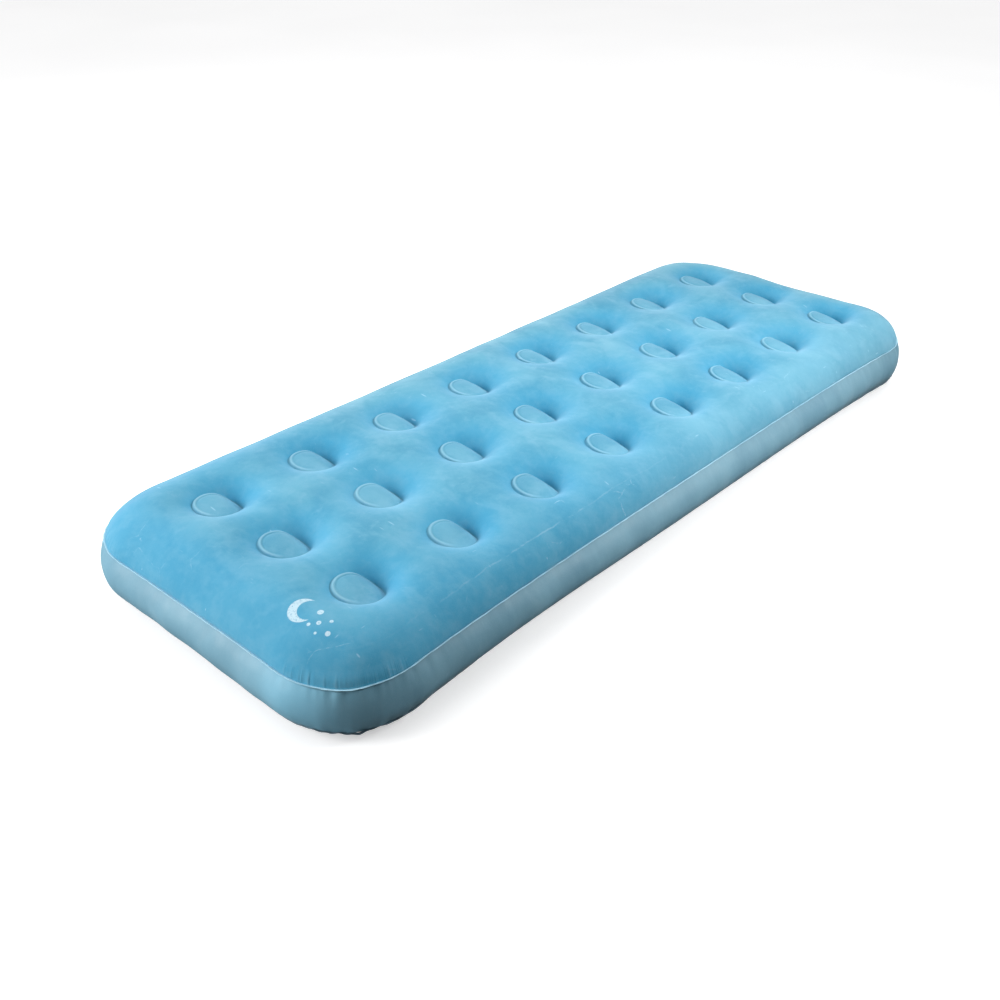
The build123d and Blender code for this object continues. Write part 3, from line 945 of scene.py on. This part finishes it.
def flock_print(k, x, y, z):
    """Worn crescent and dots near the foot end, on the upper side only."""
    def circle(cx, cy, r):
        dx, dy = k.math("SUBTRACT", x, cx * MM), k.math("SUBTRACT", y, cy * MM)
        distance = k.math("SQRT", k.math("ADD", k.times(dx, dx), k.times(dy, dy)))
        return k.fall(distance, r * MM - PRINT_SOFT, r * MM + PRINT_SOFT)

    whole, cut = CRESCENT
    ink = k.math("SUBTRACT", circle(*whole), circle(*cut), clamp=True)
    for dot in DOTS:
        ink = k.math("MAXIMUM", ink, circle(*dot))
    upper = k.ramp(z, low=0.12, high=0.13)
    wear = k.cloud(scale=300.0, detail=5.0, rough=0.7, low=0.36, high=0.50, start=0.35, end=0.95)
    k.tint(k.times(k.times(ink, upper), wear), (196, 222, 233))


def corner_pleats(k, edge, x, y):
    """Noise that varies round each corner, and a mask for the corners beside the weld."""
    over_x = k.math("SUBTRACT", k.math("ABSOLUTE", x), STRAIGHT_X * MM)
    over_y = k.math("SUBTRACT", k.math("ABSOLUTE", y), STRAIGHT_Y * MM)
    turn = k.math("ARCTAN2", over_y, over_x)
    # the signs of x and y give every corner its own pattern
    vec = k.node("CombineXYZ", {
        0: k.linear(turn, gain=15.0, offset=k.times(k.math("SIGN", x), 31.0)),
        1: k.times(k.math("SIGN", y), 17.0)})
    pleat = k.noise(rough=0.6, vec=vec.outputs[0])
    in_corner = k.times(k.ramp(over_x, low=-0.01, high=0.04), k.ramp(over_y, low=-0.01, high=0.04))
    return pleat, k.times(k.ramp(edge, low=0.89, high=0.99), in_corner)


def flock_material():
    k = Mat("flocked_film")
    flock_tones(k)
    edge = k.attr("edge")
    scuff = scuff_lines(k, edge)
    flock_marks(k, edge, scuff)
    nap = k.noise(scale=1400.0, detail=2.0, rough=0.7)
    k.tint(k.ramp(nap, low=0.35, high=0.7, end=0.16), (146, 192, 210))
    x, y, z = k.node("SeparateXYZ", {0: k.coords}).outputs
    flock_print(k, x, y, z)
    normal = k.bump(nap, strength=0.22, distance=0.0004)
    normal = k.bump(k.noise(scale=95.0, detail=4.0, rough=0.6), strength=0.16, distance=0.0022,
                    under=normal)
    normal = k.bump(scuff, strength=0.25, distance=0.0008, under=normal)
    # pleats where the sheet gathers into the weld on the corners
    pleat, near = corner_pleats(k, edge, x, y)
    normal = k.bump(k.times(pleat, near), strength=0.5, distance=0.007, under=normal)
    k.tint(k.times(k.ramp(pleat, low=0.54, high=0.62), k.times(near, 0.14)), (170, 212, 228))
    k.shade({"Base Color": k.colour, "Roughness": 0.88, "Specular IOR Level": 0.18,
             "Sheen Weight": 0.38, "Sheen Roughness": 0.42, "Sheen Tint": (0.72, 0.90, 1.0, 1.0),
             "Normal": normal})
    return k.material


# ------------------------------------------------------ films, moulded pieces
def wall_tones(k):
    """Painted shade low on the wall, on the right flank and under the upper weld; painted light at
    the foot's right bend.
    """
    # painted shade: darker towards the bottom, most on the right flank, and a darker tone over the
    # right flank
    flank = k.ramp(k.attr("flank"), low=0.62, high=1.0)
    low = k.fall(k.attr("up"), low=0.0, high=0.45)
    k.tint(k.times(low, k.linear(flank, gain=0.60, offset=0.12)), (96, 122, 134))
    k.tint(flank, (84, 122, 138), amount=0.22)
    # painted light: a lighter patch on the wall at the foot's right bend
    k.tint(k.attr("bend"), (140, 215, 245), amount=0.42)
    # painted shadow: a dark line just under the upper weld, strongest on the corners
    under = k.ramp(k.attr("up"), low=0.955, high=0.990)
    k.tint(k.times(under, k.linear(k.attr("turn"), gain=0.70, offset=0.02)), (40, 62, 74))
    # painted shade: patchy darkening along the bottom edge of the wall
    low = k.fall(k.attr("up"), low=0.0, high=0.10)
    k.tint(k.times(low, k.cloud(scale=60.0, low=0.45, high=0.6, start=0.1, end=0.6)), (58, 76, 86))


def film_material(name, rgb_a, rgb_b, rough, wall=False):
    k = Mat(name)
    k.colour = k.mix(k.cloud(scale=5.0, detail=4.0, low=0.35, high=0.68),
                     srgb(*rgb_a), srgb(*rgb_b))
    k.tint(k.cloud(stretch=(30, 30, 9), detail=4.0, rough=0.6, warp=0.4, low=0.5, high=0.8),
           (200, 214, 220), amount=0.08)
    if wall:
        wall_tones(k)
    grain = k.noise(scale=900.0, detail=2.0, rough=0.6)
    k.tint(k.ramp(grain, low=0.4, high=0.75, end=0.06), (225, 232, 236))
    fine = k.bump(grain, strength=0.10, distance=0.0003)
    waves = k.noise(stretch=(26, 26, 12), detail=4.0, warp=0.5)
    k.shade({
        "Base Color": k.colour,
        "Roughness": k.cloud(scale=28.0, detail=4.0, low=0.3, high=0.7,
                             start=rough - 0.06, end=rough + 0.10),
        "Specular IOR Level": 0.28 if wall else 0.42,
        "Coat Weight": 0.03 if wall else 0.06, "Coat Roughness": 0.25,
        "Normal": k.bump(waves, strength=0.18, distance=0.004, under=fine)})
    return k.material


def moulded_material(name, rgb, rough, rubber=False):
    k = Mat(name)
    colour = srgb(*rgb)
    tone = tuple(min(1.0, c * 1.12 + 0.004) for c in colour)
    k.colour = k.mix(k.cloud(scale=60.0, low=0.35, high=0.65), colour, tone)
    # dust
    k.tint(k.cloud(scale=240.0, detail=4.0, rough=0.7, low=0.56, high=0.75),
           (205, 212, 216), amount=0.12)
    grain = k.noise(scale=1100.0 if rubber else 1800.0, detail=2.0)
    k.shade({
        "Base Color": k.colour,
        "Roughness": k.cloud(scale=120.0, low=0.3, high=0.7, start=rough - 0.05, end=rough + 0.12),
        "Specular IOR Level": 0.3 if rubber else 0.5,
        "Normal": k.bump(grain, strength=0.12, distance=0.0002)})
    return k.material


flock = flock_material()
wall_film = film_material("side_wall_film_mat", (103, 151, 172), (123, 169, 188), rough=0.52,
                          wall=True)
base_film = film_material("bottom_sheet_film_mat", (96, 134, 152), (116, 154, 172), rough=0.50)
lip_film = film_material("weld_lip_mat", (158, 208, 228), (180, 222, 238), rough=0.45)
low_lip_film = film_material("weld_lip_low_mat", (70, 94, 106), (98, 126, 140), rough=0.45)
coil_film = film_material("coil_film_mat", (150, 178, 190), (168, 192, 202), rough=0.45)
soft = moulded_material("valve_soft_mat", (118, 160, 178), rough=0.42)
hard = moulded_material("valve_hard_mat", (196, 212, 220), rough=0.32)
seal = moulded_material("seal_rubber_mat", (52, 56, 60), rough=0.6, rubber=True)


def paint(ob, material):
    ob.data.materials.clear()
    ob.data.materials.append(material)


pieces = [(top, flock, "flocked_film"), (band, wall_film, "wall_film"),
          (bottom, base_film, "wall_film"), (lip_top, lip_film, "wall_film"),
          (lip_low, low_lip_film, "wall_film"), (ring_top, coil_film, "coil_film"),
          (ring_low, coil_film, "coil_film")]
pieces += [(coil, coil_film, "coil_film") for coil in coils]
for ob, material, slot in pieces:
    paint(ob, material)
for ob in [top, band, bottom, lip_top, lip_low, ring_top, ring_low] + coils:
    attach(ob, "bed")

# the valve pieces keep their loaded meshes
VALVE_MATERIALS = {"valve_seat": soft, "cap_strap": soft, "valve_core": hard, "valve_cap": hard,
                   "core_seal": seal, "check_flap": seal, "cap_seal": seal}
for name, material in VALVE_MATERIALS.items():
    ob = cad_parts[name]
    if not ob.material_slots:
        ob.data.materials.append(material)
    for slot in ob.material_slots:
        slot.material = material


# ---------------------------------------------------------------------- stage
FLOOR_HALF = 30        # metres
FLOOR_Z = -0.0008


def make_floor():
    h = FLOOR_HALF
    me = bpy.data.meshes.new("floor")
    me.from_pydata([(-h, -h, 0), (h, -h, 0), (h, h, 0), (-h, h, 0)], [], [(0, 1, 2, 3)])
    floor = bpy.data.objects.new("floor", me)
    floor.location.z = FLOOR_Z
    bpy.context.scene.collection.objects.link(floor)
    # bright to the camera, darker in the light it throws back
    k = Mat("floor_mat")
    seen = k.mix(k.cloud(scale=0.8, detail=2.0, low=0.3, high=0.7),
                 (0.74, 0.74, 0.745, 1.0), (0.78, 0.78, 0.785, 1.0))
    camera_ray = k.node("LightPath").outputs["Is Camera Ray"]
    k.shade({"Base Color": k.mix(camera_ray, (0.30, 0.31, 0.315, 1.0), seen),
             "Roughness": 0.9, "Specular IOR Level": 0.1, "Emission Color": (1, 1, 1, 1),
             "Emission Strength": k.times(camera_ray, 0.48)})
    paint(floor, k.material)


def area_light(name, loc, target, size, power):
    data = bpy.data.lights.new(name, "AREA")
    data.energy = power
    data.color = (1, 1, 1)
    data.shape = "RECTANGLE"
    data.size = size
    data.size_y = size
    ob = bpy.data.objects.new(name, data)
    ob.location = loc
    ob.rotation_euler = (Vector(target) - Vector(loc)).to_track_quat("-Z", "Y").to_euler()
    bpy.context.scene.collection.objects.link(ob)
    return ob


def make_world():
    """White sky, dimmed towards the right and foot except to the camera."""
    world = bpy.data.worlds.new("world")
    bpy.context.scene.world = world
    world.use_nodes = True
    tree = world.node_tree
    tree.nodes.clear()
    out = add_node(tree, "OutputWorld")
    coords = add_node(tree, "TexCoord").outputs["Generated"]
    dim = Vector((0.84, -0.54, 0.05)).normalized()
    toward = add_node(tree, "VectorMath", {0: coords, 1: dim}, operation="DOT_PRODUCT")
    sky = add_node(tree, "MapRange", {
        0: toward.outputs["Value"],
        1: 0.14, 2: 0.80,    # from these cosines to the dim direction
        3: 0.73, 4: 0.02,    # to these strengths
    }, interpolation_type="SMOOTHSTEP")
    camera_ray = add_node(tree, "LightPath").outputs["Is Camera Ray"]
    strength = add_node(tree, "Mix", {0: camera_ray, 2: sky.outputs[0], 3: 1.0},
                        data_type="FLOAT")
    background = add_node(tree, "Background", {0: (1.0, 1.0, 1.0, 1.0), 1: strength.outputs[0]})
    tree.links.new(background.outputs[0], out.inputs[0])


def make_camera():
    """Looks down at the bed from beyond its foot, on the right."""
    azimuth, elevation, roll = math.radians(41.2), math.radians(29.9), math.radians(0.2)
    target, distance = Vector((-0.0037, -0.0532, 0.0)), 2.4601
    back = Vector((math.sin(azimuth) * math.cos(elevation),
                   -math.cos(azimuth) * math.cos(elevation), math.sin(elevation)))
    level = Vector((0, 0, 1)).cross(back).normalized()
    upright = back.cross(level)
    right = level * math.cos(roll) + upright * math.sin(roll)
    up = -level * math.sin(roll) + upright * math.cos(roll)
    data = bpy.data.cameras.new("camera")
    data.sensor_width = 36.0
    data.lens = 41.3748
    data.shift_x = -0.0446
    data.shift_y = -0.0316
    data.clip_end = 100
    camera = bpy.data.objects.new("camera", data)
    bpy.context.scene.collection.objects.link(camera)
    turn = Matrix((right, up, back)).transposed()
    camera.matrix_world = Matrix.Translation(target + back * distance) @ turn.to_4x4()
    bpy.context.scene.camera = camera


make_floor()
area_light("key", loc=(-2.05, -3.2, 1.45), target=(-0.1, -0.35, 0.1), size=2.2, power=130)
area_light("top_fill", loc=(-0.8, 1.6, 3.2), target=(0, 0.1, 0.1), size=3.2, power=40)
right_fill = area_light("right_fill", loc=(1.9, 1.35, 1.6), target=(0.30, 0.20, 0.14),
                        size=1.0, power=5.9)
right_fill.data.spread = math.radians(52)
make_world()
make_camera()

view = bpy.context.scene.view_settings
view.view_transform = "Standard"
view.look = "None"
view.exposure = 0.0


bpy.context.view_layer.update()
